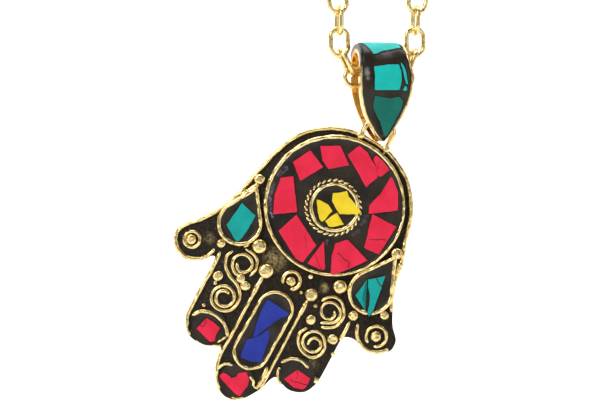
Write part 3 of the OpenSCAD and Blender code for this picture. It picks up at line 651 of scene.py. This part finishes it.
# chips whose outlines are finer than their solids': the rise above the solid's top, which lets three of them lie
# over their walls, and the points
ownPoints = {
    "yellow_1": (0.32, ((-1.9, 2.6), (-0.7, 3.3), (1, 4.7), (2, 3.7), (4.1, 2.9), (6.7, 1.7), (6.1, 0.9), (2, -1.2),
        (0.1, -0.1), (-1.2, 0.8))),
    "coral_7": (0.32, ((6.8, -5.9), (4.5, -8.1), (5.2, -11.4), (7.2, -15.9), (10.5, -12.2), (13.6, -8.2))),
    "lapis_1": (0, ((-3.9, -28.4), (-1, -28.6), (2.5, -28.95), (2.6, -29.4), (1.4, -30.7), (0.3, -32.5),
        (-0.8, -34.9), (-2.1, -37.7), (-2.8, -38.5), (-3.2, -36.7), (-3.8, -33.6), (-4, -31.3))),
    "lapis_2": (0, ((-3.8, -39.6), (-2.6, -38.6), (-1.3, -36.9), (-0.3, -35.1), (0.3, -35.2), (1, -37.3),
        (1.4, -39.7), (1.9, -42.9), (-0.2, -44), (-3.1, -44.35), (-3.5, -43.1), (-3.7, -41.4))),
    "tip_coral_middle": (0, ((-5.7, -50.9), (-5.2, -49.8), (-4, -49.6), (-2.7, -50), (-1.9, -49.2), (-1.7, -48),
        (-0.2, -46.9), (1.3, -48.1), (1.75, -49.9), (1.2, -53.05), (0, -53.05), (-2.6, -52.2), (-4.6, -51.5))),
    "turquoise_left": (0, ((-20.8, -10.1), (-16.3, -11.4), (-16.35, -14.6), (-16.65, -17.5), (-17.15, -19.4),
        (-18.6, -18.7), (-21.6, -16.75))),
    "turquoise_right_1": (0.38, ((15.95, -12.3), (17.7, -10.95), (19.3, -9.5), (19.9, -12.8), (20.2, -15.3),
        (20.7, -18.5), (20.4, -20.4), (19.7, -19.8), (19.1, -17.7), (18.2, -15.6), (16.8, -13.9))),
    "turquoise_right_2": (0.1, ((15, -17.3), (15.75, -12.4), (16.2, -14.1), (16.9, -16.7), (17.9, -18.2),
        (19.1, -19.6), (17.8, -18.9)))}


def stoneChip(node, finish, slot, seed):
    points, top = topOutline(node)
    if node in ownPoints:
        rise, points = ownPoints[node]
        top += rise
    rings = chipRings(anticlockwise(points), top, seed)
    mesh = shell(rings, handPlace)
    shadeSeamed(mesh, len(rings[0]), finish)
    addObject("stone." + node, mesh, "hand", slot, node)


# the bail, from the middle of its fold, in mm
bailForm = {"fold": 3.1, "strap": 0.8, "crown": 2.6, "edge": 0.5, "gap": 1.724, "low": 18.95, "half": 6.3,
            "bendHigh": -3.2, "bendLow": -13.6, "flare": 1.15, "resinBack": -4, "chipRise": 0.12, "chipBow": 0.25}
bailQuarter = bailForm["fold"] * pi / 2
bailReach = bailQuarter + bailForm["low"]
# heights in shares of the leaf's length, and its half width there in shares of the widest
bailWidths = ((-1, 0.05), (-0.975, 0.15), (-0.93, 0.26), (-0.85, 0.42), (-0.76, 0.58), (-0.65, 0.74), (-0.52, 0.87),
              (-0.38, 0.96), (-0.2, 1), (0, 0.98), (0.31, 0.94))
# the resin's section: shares of its half width and of its rise
resinCrown = ((1.0, 0.0), (1.0, 0.7), (0.985, 0.8), (0.94, 0.87), (0.86, 0.93), (0.74, 0.965), (0.6, 0.98),
              (0.45, 0.99), (0.3, 0.995), (0.15, 1.0))


def ramp(value, low, high):  # 0 below low, 1 above high, straight between
    return min(1, max(0, (value - low) / (high - low)))


def bailHalf(z):
    return bailForm["half"] * float(np.interp(z / bailForm["low"], *zip(*bailWidths)))


def bailSpot(v, t):  # depth and height at the way v from the fold's top, forwards, and t out of the hollow
    fold, gap = bailForm["fold"], bailForm["gap"]
    if abs(v) <= bailQuarter:
        a = pi / 2 + v / fold
        return (fold + t) * cos(a), (fold + t) * sin(a)
    z = bailQuarter - abs(v)
    s = ramp(z, bailForm["bendLow"], bailForm["bendHigh"])
    depth = gap + (fold - gap) * s * s * (3 - 2 * s)
    return copysign(depth + t, -v), z


def bailFlare(x, v, t):  # the front's right side leans out, the more the further from the hollow
    front = ramp(v, 2.5, 6.5) * ramp(bailReach - v, 0, 9)
    return bailForm["flare"] * front * ramp(t, 0.4, 1.3) * max(0, x / bailForm["half"])


def frameSection(v, half):  # the leaf, with walls along its edges in front
    lip = 0.82 + 1.45 * ramp(v, -3.9, -3.1)
    edge, strap = min(bailForm["edge"], half * 0.45), bailForm["strap"]
    right = [(half - edge, strap), (half - edge, lip - 0.12), (half - edge * 0.8, lip - 0.03),
             (half - edge * 0.5, lip), (half - edge * 0.2, lip - 0.03), (half, lip - 0.12), (half, strap * 0.5),
             (half - 0.04, 0.06), (half - 0.12, 0)]
    return right + [(-x, t) for x, t in reversed(right)]


def resinSection(v, half):  # the resin between the walls, lower towards its two ends
    inner, foot = max(0.06, half - bailForm["edge"] + 0.02), bailForm["strap"] + 0.03
    fade = ramp(v, -4.05, -2.95) * max(0.25, ramp(bailReach - v, 0, 1.2))
    rise = (bailForm["crown"] - foot) * (0.25 + 0.75 * fade)
    right = [(inner * w, foot + rise * r) for w, r in resinCrown]
    return right + [(0, foot + rise)] + [(-x, t) for x, t in reversed(right)]


def bailPiece(name, first, last, count, section, angle, finish, slot, node):  # a section carried over the fold
    places = []
    for k in range(count + 1):
        v = first + (last - first) * k / count
        ring = section(v, bailHalf(bailSpot(v, 0)[1]))
        places += [(x + bailFlare(x, v, t), *bailSpot(v, t)) for x, t in ring]
    n = len(ring)
    faces = bands(count + 1, n) + [list(range(n - 1, -1, -1)), list(range(len(places) - n, len(places)))]
    mesh = newMesh(name, places, faces)
    smoothMesh(mesh, angle)
    mesh.transform(bailPlace)
    mesh.materials.append(finish)
    addObject(name, mesh, "bail", slot, node)


def bailChip(name, points, seed, node, finish):
    flats = chipRings(anticlockwise(points), bailForm["crown"] + bailForm["chipRise"], seed, 0.01, 0.1)
    middle = sum((Vector(p) for p in flats[-1]), Vector()) / len(flats[-1])
    flats += [[Vector(p).lerp(middle, share) for p in flats[-1]] for share in (0.2, 0.4, 0.6, 0.8, 0.97)]
    rings = []
    for ring in flats:
        made = []
        for x, v, t in ring:
            share = min(1, abs(x) / (bailForm["half"] - bailForm["edge"]))
            made.append((x + bailFlare(x, v, t), *bailSpot(v, t - bailForm["chipBow"] * share ** 5)))
        rings.append(made)
    mesh = shell(rings, bailPlace)
    mesh.flip_normals()
    shadeSeamed(mesh, len(rings[0]), finish)
    addObject(name, mesh, "bail", "turquoise_stone", node)


chainLink = {"Length": 8.0, "Width": 5.6, "Wire": 1.2, "Dent": 0.1}


def chainPiece(name, node, seed):  # a link on each solid link of the CAD chain
    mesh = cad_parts[node].data
    co = np.zeros(len(mesh.vertices) * 3)
    mesh.vertices.foreach_get("co", co)
    co = co.reshape(-1, 3) / mm
    same = np.unique(np.round(co, 3), axis=0, return_inverse=True)[1].reshape(-1).tolist()
    group = list(range(len(co)))

    def root(i):
        while group[i] != i:
            group[i] = group[group[i]]
            i = group[i]
        return i

    for polygon in mesh.polygons:
        first = root(same[polygon.vertices[0]])
        for i in polygon.vertices:
            group[root(same[i])] = first
    members = {}
    for i, key in enumerate(same):
        members.setdefault(root(key), []).append(i)
    places, turns = [], []
    for rows in members.values():
        part = np.unique(np.round(co[rows], 3), axis=0)
        axes = np.linalg.eigh(np.cov((part - part.mean(0)).T))[1]
        long, wide = Vector(axes[:, 2]), Vector(axes[:, 1])
        places.append(tuple(part.mean(0)))
        turns += Matrix((long, wide, long.cross(wide))).transposed().to_euler()
    points = newMesh("spots", places, [])
    points.attributes.new("turn", "FLOAT_VECTOR", "POINT").data.foreach_set("vector", turns)
    made = grow(linkTree, points, brassChain, Matrix.Scale(mm, 4), Seed=seed, **chainLink)
    print(name, len(places), "links,", len(made.polygons), "faces")
    addObject(name, made, "chain", "chain_brass", node)


setCamera()
brassHand = brassFinish("handBrass", overlay=handOverlay)
brassLoop = brassFinish("loopBrass")
brassBail = brassFinish("bailBrass", 0.1, bailOverlay)
brassChain = brassFinish("chainBrass")
plateBlack = plateFinish()
resin = resinFinish()
coral = stoneFinish("coralStone", (0.74, 0.02, 0.062), (0.63, 0.012, 0.038), coralCracks)
yellow = stoneFinish("yellowStone", (0.82, 0.62, 0.025), (0.72, 0.5, 0.012))
turquoise = stoneFinish("turquoiseStone", (0.003, 0.34, 0.31), (0.002, 0.26, 0.23), turquoiseCracks)
turquoiseMid = stoneFinish("turquoiseMid", (0.006, 0.5, 0.45), (0.004, 0.41, 0.36))
# painted light: a lighter copy of the turquoise for the chip on the fold, as if lit from above, and a darker copy for
# the lowest bail chip, as if in shade
turquoiseTop = stoneFinish("turquoiseTop", (0.04, 0.5, 0.46), (0.02, 0.4, 0.37))
turquoiseLow = stoneFinish("turquoiseLow", (0.004, 0.155, 0.115), (0.003, 0.11, 0.085))
lapis = stoneFinish("lapisStone", (0.02, 0.04, 0.32), (0.014, 0.026, 0.25))
# painted shade: a dark finish for the chips' flanks, standing in for the shadowed gap round each chip
seamShade = Finish("darkSeam").set(baseColor=(0.012, 0.007, 0.005), roughness=0.7, specularIorLevel=0.2)
print("finishes ready")

# the hand's plate
edge = smoothPath(outlinePoints, True)
mesh = shell([[(p.x, p.y, z) for p in offsetPath(edge, inset)] for inset, z in plateSection], handPlace)
smoothMesh(mesh, 40)
mesh.materials.append(plateBlack)
addObject("handPlate", mesh, "hand", "hand_brass", "hand_frame")


# the wires
def wires(*rows):  # rows: the share of the thickness, then the points of an open path
    return [(smoothPath(points), False, share) for share, *points in rows]


def discShare(p):  # the wall of the disc is uneven in thickness
    return 0.87 + 0.007 * p.y - 0.012 * p.x


wireTree, twistTree, granuleTree, linkTree = wireForm(), twistForm(), granuleForm(), linkForm()
rimWires = [
    (sector(-6, 22, tail=((-24.2, -27.7), (-22.5, -26.05), (-21.5, -23.5))), False, 1),
    (sector(27, 30, lead=((-19.9, -23.4), (-19.7, -28.5))), False, 1), (sector(32, 35), False, 0.85)] + wires(
    (1, (-7.7, -24), (-7.7, -30), (-7.7, -36), (-7.7, -41.4), (-7.95, -44.5), (-7.6, -48), (-6.5, -50.6),
     (-5.2, -52.6), (-3.7, -53.9), (-1.8, -54.5), (0.4, -54.1), (2, -53)),
    (0.72, (5, -24), (5, -33), (5, -41), (4.9, -49.2)),
    (1.15, (3.9, -43.5), (4.1, -46), (4.1, -49.3)),
    (1, (16.8, -23.8), (16.9, -26.5), (16.8, -29))) + [(arcPath((24.1, -22.9), 5.1, 185, 330), False, 0.95)] + wires(
    (1.3, (21.2, -4.6), (21.6, -6.6), (21.9, -8.6)),
    (1.3, (-19.5, -3), (-19.6, -4.4), (-20.6, -6.4), (-22, -8.6)),
    (0.9, (-14.4, -18.4), (-15.3, -19.6)),
    (1.3, (4.95, -24.6), (5, -26.6), (4.95, -28.4)),
    (1.25, (-7.65, -24.4), (-7.75, -27), (-7.7, -29.5)))
tipWires = wires(
    (1, (-18.7, -40.7), (-17.2, -38.8), (-14.4, -38), (-11.3, -38.6), (-9.4, -40), (-8.5, -41.3)),
    (0.9, (-6.8, -49.6), (-6.2, -48.1), (-5, -47.3), (-3.7, -47.1)),
    (0.8, (1, -47.6), (2.4, -48.1), (3, -49.2), (4.4, -49.3)),
    (1, (6.4, -40.8), (8.2, -38.8), (10.6, -38.1), (13.3, -38.9)),
    (0.85, (6.6, -42.4), (6.9, -43.6), (7.9, -45), (9.1, -45.6)))
thinRims = wires(
    (1, (-6.45, -51), (-5.5, -52.5), (-4.1, -53.6)),
    (0.9, (-0.4, -54.25), (1, -53.9), (2.3, -52.9)),
    (0.9, (-19.5, -42.5), (-18.4, -44.1), (-16.9, -45.2)),
    (1, (-10, -43.8), (-9.3, -42.6), (-8.6, -41.3)))
discWalls = [(arcPath((0, 0), handForm["disc"]), True, discShare),
             (arcPath(handForm["centreSpot"], handForm["centre"]), True, 0.95)]
dropWalls = {side: dropPath(handForm[side + "Drop"], handForm["drop"], handForm[side + "Point"])
             for side in ("left", "right")}
ovalWall = ovalPath(handForm["oval"], handForm["ovalWide"], handForm["ovalLong"], handForm["ovalLean"])
cellWalls = [(wall, True, 1) for wall in dropWalls.values()] + [(ovalWall, True, 0.88)]
# the left pair is one wire that swings over from the upper curl to the lower one
swing = smoothPath(((-17.2, -21.8), (-18, -23.4), (-17.6, -25), (-16.7, -26.4), (-15, -27.7), (-13.3, -28.4),
                    (-11.8, -29.2), (-10.6, -30.6), (-10.1, -32.1)))
curls = [(swing + spiralPath((-13.8, -33.1), 3.72, 1.5, 1.85, 8, -1), False, 1)] + wires(
    (1, (-14.9, -23.9), (-14.3, -25), (-13.1, -25.5), (-12, -25), (-11.3, -23.8), (-11.5, -22.3), (-12.7, -21.4),
     (-14.4, -21.3), (-15.7, -22.3), (-16.1, -23.8), (-15.5, -25.3), (-14.3, -26.3), (-13.2, -26.6)),
    (0.95, (-14.6, -19.9), (-12.9, -20), (-11.3, -20.6), (-10.4, -21.7), (-10, -23.4), (-10.6, -25.4)),
    (0.9, (8.2, -22.5), (8.9, -21.3), (10, -20.4), (11.4, -20.1), (12.8, -20.5), (14, -21.7), (14.9, -23.3),
     (14.8, -25.2), (14.1, -26.7), (12.8, -27.7), (11.2, -28.3)),
    (0.9, (10.5, -27.5), (11.6, -26.9), (13, -26.2), (13.9, -24.9), (13.9, -23.4), (13.1, -22.2), (11.6, -21.6),
     (10.2, -21.9), (9.2, -22.9), (9.1, -24.3), (9.9, -25.5), (11.3, -25.9), (12.5, -25.3), (12.7, -24),
     (12.2, -23.2)),
    (0.95, (8.1, -30.2), (7.1, -32), (7.5, -33.8), (8.7, -35.3), (10.4, -36.1), (12.6, -36.2), (14.1, -34.7),
     (14.4, -32.7), (13.4, -30.9), (12.1, -29.9), (10.6, -29.9), (9.2, -30.8), (8.5, -32.5), (8.8, -33.9),
     (10, -34.8), (11.8, -35), (13, -34.1), (13.3, -32.7), (12.5, -31.6), (11, -31.5), (10.2, -32.6),
     (10.2, -33.8))) + [
    (arcPath((-27.6, -24), 1.98), True, 0.95), (arcPath((24.4, -24), 2.55, -75, 245), False, 1),
    (arcPath((-0.85, -21.5), 2.2, -72, 225), False, 1.15)]
loopWire = [([Vector((4.72, 17.2)), Vector((4.72, 19.4))] + arcPath((1.118, 21.6), 3.6, 0, 180)
             + [Vector((-2.48, 19.4)), Vector((-2.48, 17.2))], False, 1)]
# name, paths, level, width, height, radius of the corners, wander, dent and finish
wireSets = (("rimWires", rimWires, 1.3, 1.05, 1.1, 0.52, 0.22, 0.16, brassHand),
            ("tipWires", tipWires, 1.55, 0.95, 1.5, 0.45, 0.12, 0.1, brassHand),
            ("thinRims", thinRims, 1.95, 0.6, 0.6, 0.28, 0.1, 0.08, brassHand),
            ("discWalls", discWalls, 2.3, 1.05, 2.6, 0.5, 0.22, 0.16, brassHand),
            ("cellWalls", cellWalls, 2.0, 1.05, 2.0, 0.5, 0.28, 0.17, brassHand),
            ("curls", curls, 1.5, 0.92, 0.9, 0.45, 0.14, 0.14, brassHand),
            ("hangingLoop", loopWire, 0.9, 1.4, 1.4, 0.69, 0.0, 0.1, brassLoop))
for number, (name, paths, level, wide, tall, corner, wander, dent, finish) in enumerate(wireSets):
    made = grow(wireTree, strokes(paths, level, tall if name == "discWalls" else 0), finish, handPlace, Width=wide,
                Tall=tall, Round=corner, Wander=wander, Dent=dent, Seed=11 + number)
    addObject(name, made, "hand", "hand_brass", "hand_frame")
    print(name, len(made.polygons), "faces")
ring = strokes([(arcPath(handForm["twistSpot"], handForm["twist"]), True, 1)], handForm["twistLevel"])
made = grow(twistTree, ring, brassHand, handPlace, Turns=15.0, Strand=0.31, Swing=0.26, Steps=420.0, Seed=5)
addObject("twistedRing", made, "hand", "hand_brass", "hand_frame")

# the granules: x, y and radius
granules = ((-19.6, -2.8, 1.35), (-20.65, -21.5, 1.2), (19.2, -3.3, 1.5), (16.9, -22.1, 1.3), (23.8, -18.4, 1.15),
            (-27.8, -24.1, 1.3), (24.3, -24, 1.4), (-0.85, -21.8, 1.25), (-11.9, -17.6, 1.95), (-7.5, -22.3, 1.95),
            (-17.6, -29, 1.4), (-12.3, -26.9, 1.15), (-10.4, -28, 1.3), (5.2, -22.4, 1.75), (10.6, -17.2, 1.85),
            (8, -27.9, 1.35), (15.1, -29.7, 1.35), (3, -18.5, 0.65), (2.7, -23.1, 0.5), (7.4, -24.3, 0.5),
            (-17.4, -30.9, 0.5), (-17.3, -37.1, 0.55), (17, -33, 0.6), (16.1, -40.7, 0.85), (6.9, -42.6, 0.7),
            (-2.5, 18.7, 1.0), (4.7, 18.5, 0.95))


def granuleLevel(y, radius):  # the two at the loop and those on wires above the thumbs stand higher
    return plateTop + (1.6 if y > 15 else 1) * 0.3 * radius + (0.5 if y > -5 else 0)


spots = newMesh("spots", [(x, y, granuleLevel(y, radius)) for x, y, radius in granules], [])
spots.attributes.new("size", "FLOAT", "POINT").data.foreach_set("value", [radius for x, y, radius in granules])
made = grow(granuleTree, spots, brassHand, handPlace, Squash=0.82, Dent=0.5, Seed=3)
addObject("granules", made, "hand", "hand_brass", "hand_frame")
print("granules", len(made.polygons), "faces")

# resin
centreSpot, inset = handForm["centreSpot"], resinForm["cellInset"]
resinPiece("discResin", arcPath((0, 0), resinForm["discEdge"]), centreSpot, resinForm["discLevel"], 1.0,
           "resin_disc", "resin_ring", hole=resinForm["discHole"])
resinPiece("centreResin", arcPath(centreSpot, resinForm["centreEdge"]), centreSpot, resinForm["discLevel"], 2.0,
           "resin_centre", rise=0.15)
for side, wall in dropWalls.items():
    resinPiece(side + "DropResin", offsetPath(wall, inset), handForm[side + "Drop"], resinForm["cellLevel"], 3.0,
               "resin_drop_" + side)
resinPiece("ovalResin", offsetPath(ovalWall, inset), handForm["oval"], resinForm["cellLevel"], 4.0, "resin_oval")
for number, side in enumerate(("left", "middle", "right")):
    spot = handForm["tips"][number]
    resinPiece("tipResin" + side, tipPath(spot), spot, resinForm["tipLevel"], 5.0 + number, "resin_tip_" + side,
               rise=0.1)

# stones
stoneSets = (("coral_%d", 10, coral, "coral_stone"), ("yellow_%d", 3, yellow, "yellow_stone"),
             ("turquoise_right_%d", 2, turquoise, "turquoise_stone"), ("lapis_%d", 2, lapis, "lapis_stone"))
for pattern, count, finish, slot in stoneSets:
    for number in range(1, count + 1):
        stoneChip(pattern % number, finish, slot, number + count)
stoneChip("turquoise_left", turquoise, "turquoise_stone", 40)
for number, side in enumerate(("left", "middle", "right")):
    stoneChip("tip_coral_" + side, coral, "coral_stone", 50 + number)
print("stones set")

bailPiece("bailLeaf", -bailReach, bailReach, 120, frameSection, 40, brassBail, "bail_brass", "bail_frame")
bailPiece("bailResin", bailForm["resinBack"], bailReach - 0.1, 100, resinSection, 60, resin, "black_resin",
          "bail_resin")
half, low = bailForm["half"], bailForm["low"]
# the number of the node, then points in shares of the half width and of the leaf's length, and the finish
bailChips = (
    (2, [(0.5, 0.0), (0.1, 0.0), (-0.46, -0.03), (-0.42, -0.16), (-0.42, -0.335), (0.5, -0.33), (0.57, -0.2),
         (0.54, -0.08)], turquoiseMid),
    (3, [(0.58, 0.02), (0.68, -0.01), (0.74, -0.13), (0.79, -0.25), (0.73, -0.25), (0.64, -0.12)], turquoiseMid),
    (3, [(0.63, -0.34), (0.77, -0.335), (0.75, -0.29), (0.69, -0.275)], turquoiseMid),
    (4, [(0.5, -0.42), (0.2, -0.44), (-0.4, -0.41), (-0.46, -0.55), (-0.32, -0.65), (-0.14, -0.75), (0, -0.93),
         (0.12, -0.93), (0.42, -0.74), (0.62, -0.57), (0.64, -0.47)], turquoiseLow))
for place, (number, points, finish) in enumerate(bailChips):
    bailChip("stone.bail%d.%d" % (number, place), [(x * half, bailQuarter - z * low) for x, z in points], 60 + place,
             "bail_turquoise_%d" % number, finish)
foldChip = ((-0.84, -2.3), (0.72, -2.3), (0.72, 2.2), (0.35, 2.5), (0, 2.8), (-0.32, 3.3), (-0.46, 3.4),
            (-0.8, 0.6))
bailChip("stone.bail1", [(x * half, v) for x, v in foldChip], 64, "bail_turquoise_1", turquoiseTop)
chainPiece("leftChain", "chain_left", 21)
chainPiece("rightChain", "chain_right", 22)
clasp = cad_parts["clasp"].data.materials
clasp.clear()
clasp.append(brassChain)
print("bail and chain ready")

# floor and wall in one bent sheet
bend, steps, side = studio["bend"], studio["bendSteps"], studio["halfWide"]
profile = [(studio["frontY"], studio["floorZ"])]
for i in range(steps + 1):
    a = radians(90 * i / steps)
    profile.append((studio["wallY"] - bend + bend * sin(a), studio["floorZ"] + bend * (1 - cos(a))))
profile.append((studio["wallY"], studio["wallTop"]))
sheet = newMesh("backdrop", [(x * mm, y * mm, z * mm) for y, z in profile for x in (-side, side)],
                [(2 * i, 2 * i + 1, 2 * i + 3, 2 * i + 2) for i in range(len(profile) - 1)])
smoothMesh(sheet)
backdrop = placed("backdrop", sheet)
paper = Finish("paper")
tone = paper.tint(paper.grain(0.01), (0.88, 0.88, 0.88), (0.92, 0.92, 0.92))
sheet.materials.append(paper.set(baseColor=tone, roughness=0.9))

scene.world = bpy.data.worlds.new("room")
scene.world.use_nodes = True
sky = scene.world.node_tree.nodes["Background"].inputs
sky["Color"].default_value = (0.8, 0.84, 0.9, 1)
sky["Strength"].default_value = 0.24
scene.view_settings.view_transform = "Standard"
aim = (-0.015, 0, -0.2)
setLight("window", (-0.55, -0.72, 0.3), aim, (0.5, 0.5), 4.7, (1.0, 0.99, 0.97))
setLight("front", (-0.15, -1.0, -0.1), aim, (0.7, 0.5), 0.45, (1.0, 0.98, 0.95))
setLight("fill", (0.8, -0.5, -0.05), aim, (0.3, 0.6), 1.2, (1.0, 0.98, 0.94))
setLight("glow", (-0.7, 0.15, -0.2), aim, (0.3, 0.5), 1.2, (1.0, 0.84, 0.58))
setLight("top", (0.0, -0.15, 0.55), aim, (0.5, 0.3), 2.0, (1.0, 1.0, 1.0))
setLight("back", (0.0, 0.15, 0.5), (0, 0.4, -0.1), (1.2, 0.4), 6, (1.0, 1.0, 1.0))
